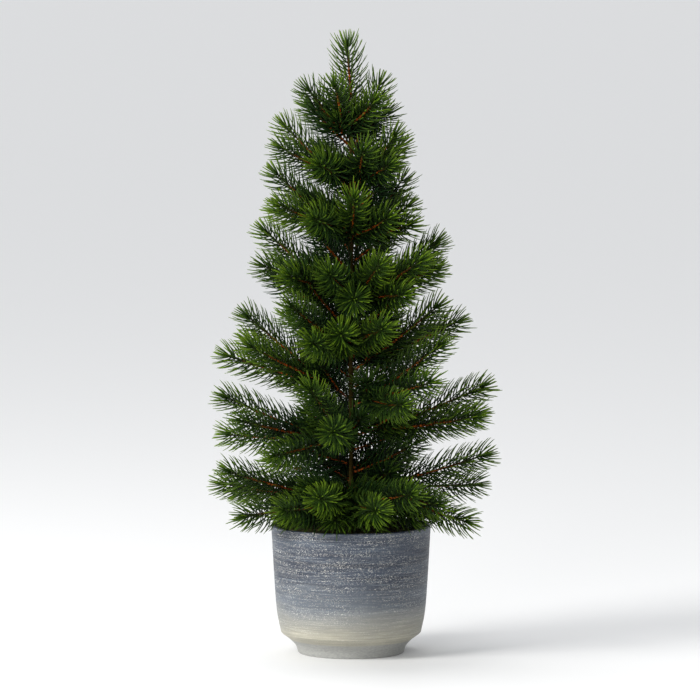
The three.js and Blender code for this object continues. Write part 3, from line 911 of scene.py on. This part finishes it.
def leader():
    """The upright shoot on top of the trunk."""
    foot = np.array([0, 0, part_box("trunk_tape")[1][2] / MM + 1])
    tip = np.array(LEADER_TIP)
    stem = Stem(foot, np.array([0, 0, (foot[2] + tip[2]) / 2]), tip)
    spray("leader", "tree", "leader_needles", [stem], [-0.5], [LEADER_VIGOUR], 99)


def repaint(node, key):
    """A CAD node whose shape is right keeps it and takes a finished material."""
    for slot in frame["nodes"][node].material_slots:
        slot.material = MATERIALS[key]


planter()
grower_pot()
moss()
trunk()
leader()
trunk_fillers()
for number, branch_name in enumerate(BRANCHES):
    branch(branch_name, 1000 + number)
for cad_node, cad_key in (("ballast", "plaster"), ("foam_fill", "foam"), ("trunk_rod", "rod")):
    repaint(cad_node, cad_key)


# ---------- floor, light, camera ----------
CAMERA_PLACE = (-0.001, -4.5, 0.6645)        # metres
CAMERA_AIM = (-0.001, 0, 0.298)
FLOOR_REACH = 400


def floor():
    """A pale floor so wide that its far edge meets the sky."""
    corners = [(x * FLOOR_REACH, y * FLOOR_REACH, 0) for x, y in ((-1, -1), (1, -1), (1, 1), (-1, 1))]
    mesh = bpy.data.meshes.new("studio_floor")
    mesh.from_pydata(corners, [], [(0, 1, 2, 3)])
    piece = bpy.data.objects.new("studio_floor", mesh)
    bpy.context.scene.collection.objects.link(piece)
    made, _, _, shader = material("pale_floor")
    shader.inputs["Base Color"].default_value = (0.90, 0.90, 0.905, 1)
    shader.inputs["Roughness"].default_value = 0.55
    mesh.materials.append(made)


def area_light(name, place, target, size, power, colour):
    """A rectangular lamp at a place, turned towards a target."""
    light = bpy.data.lights.new(name, "AREA")
    light.shape = "RECTANGLE"
    light.size, light.size_y = size
    light.energy = power
    light.color = colour
    holder = bpy.data.objects.new(name, light)
    holder.location = place
    holder.rotation_euler = (Vector(target) - Vector(place)).to_track_quat("-Z", "Y").to_euler()
    bpy.context.scene.collection.objects.link(holder)


def lights():
    """A soft key from the left, a weaker front light, a wide overhead sun and a pale sky."""
    world = bpy.data.worlds.new("studio")
    world.use_nodes = True
    nodes, links = world.node_tree.nodes, world.node_tree.links
    split = nodes.new("ShaderNodeSeparateXYZ")
    links.new(nodes.new("ShaderNodeTexCoord").outputs["Generated"], split.inputs["Vector"])
    sky_colours = [(0.0, (0.71, 0.715, 0.73)), (0.12, (0.60, 0.61, 0.625)), (0.4, (0.46, 0.47, 0.48))]
    sky_colour = ramp(nodes, links, split.outputs["Z"], sky_colours)
    links.new(sky_colour, nodes["Background"].inputs["Color"])
    bpy.context.scene.world = world
    middle = (0, 0, 0.3)
    area_light("key", (-2.3, -1.3, 1.4), middle, (1.2, 1.2), 92, (1, 0.99, 0.96))
    area_light("front", (-0.9, -3.0, 1.0), middle, (1.0, 1.0), 24, (1, 1, 0.98))
    sky = bpy.data.lights.new("sky", "SUN")
    sky.energy = 1.15
    sky.angle = math.radians(50)
    holder = bpy.data.objects.new("sky", sky)
    holder.rotation_euler = (math.radians(-18), math.radians(-14), 0)
    bpy.context.scene.collection.objects.link(holder)


def camera():
    """Four and a half metres off, two thirds of a metre above the table, looking a little down."""
    lens = bpy.data.cameras.new("camera")
    lens.lens = 237
    lens.sensor_width = 36
    holder = bpy.data.objects.new("camera", lens)
    holder.location = CAMERA_PLACE
    holder.rotation_euler = (Vector(CAMERA_AIM) - Vector(CAMERA_PLACE)).to_track_quat("-Z", "Y").to_euler()
    bpy.context.scene.collection.objects.link(holder)
    bpy.context.scene.camera = holder


floor()
lights()
camera()
bpy.context.scene.view_settings.view_transform = "Standard"
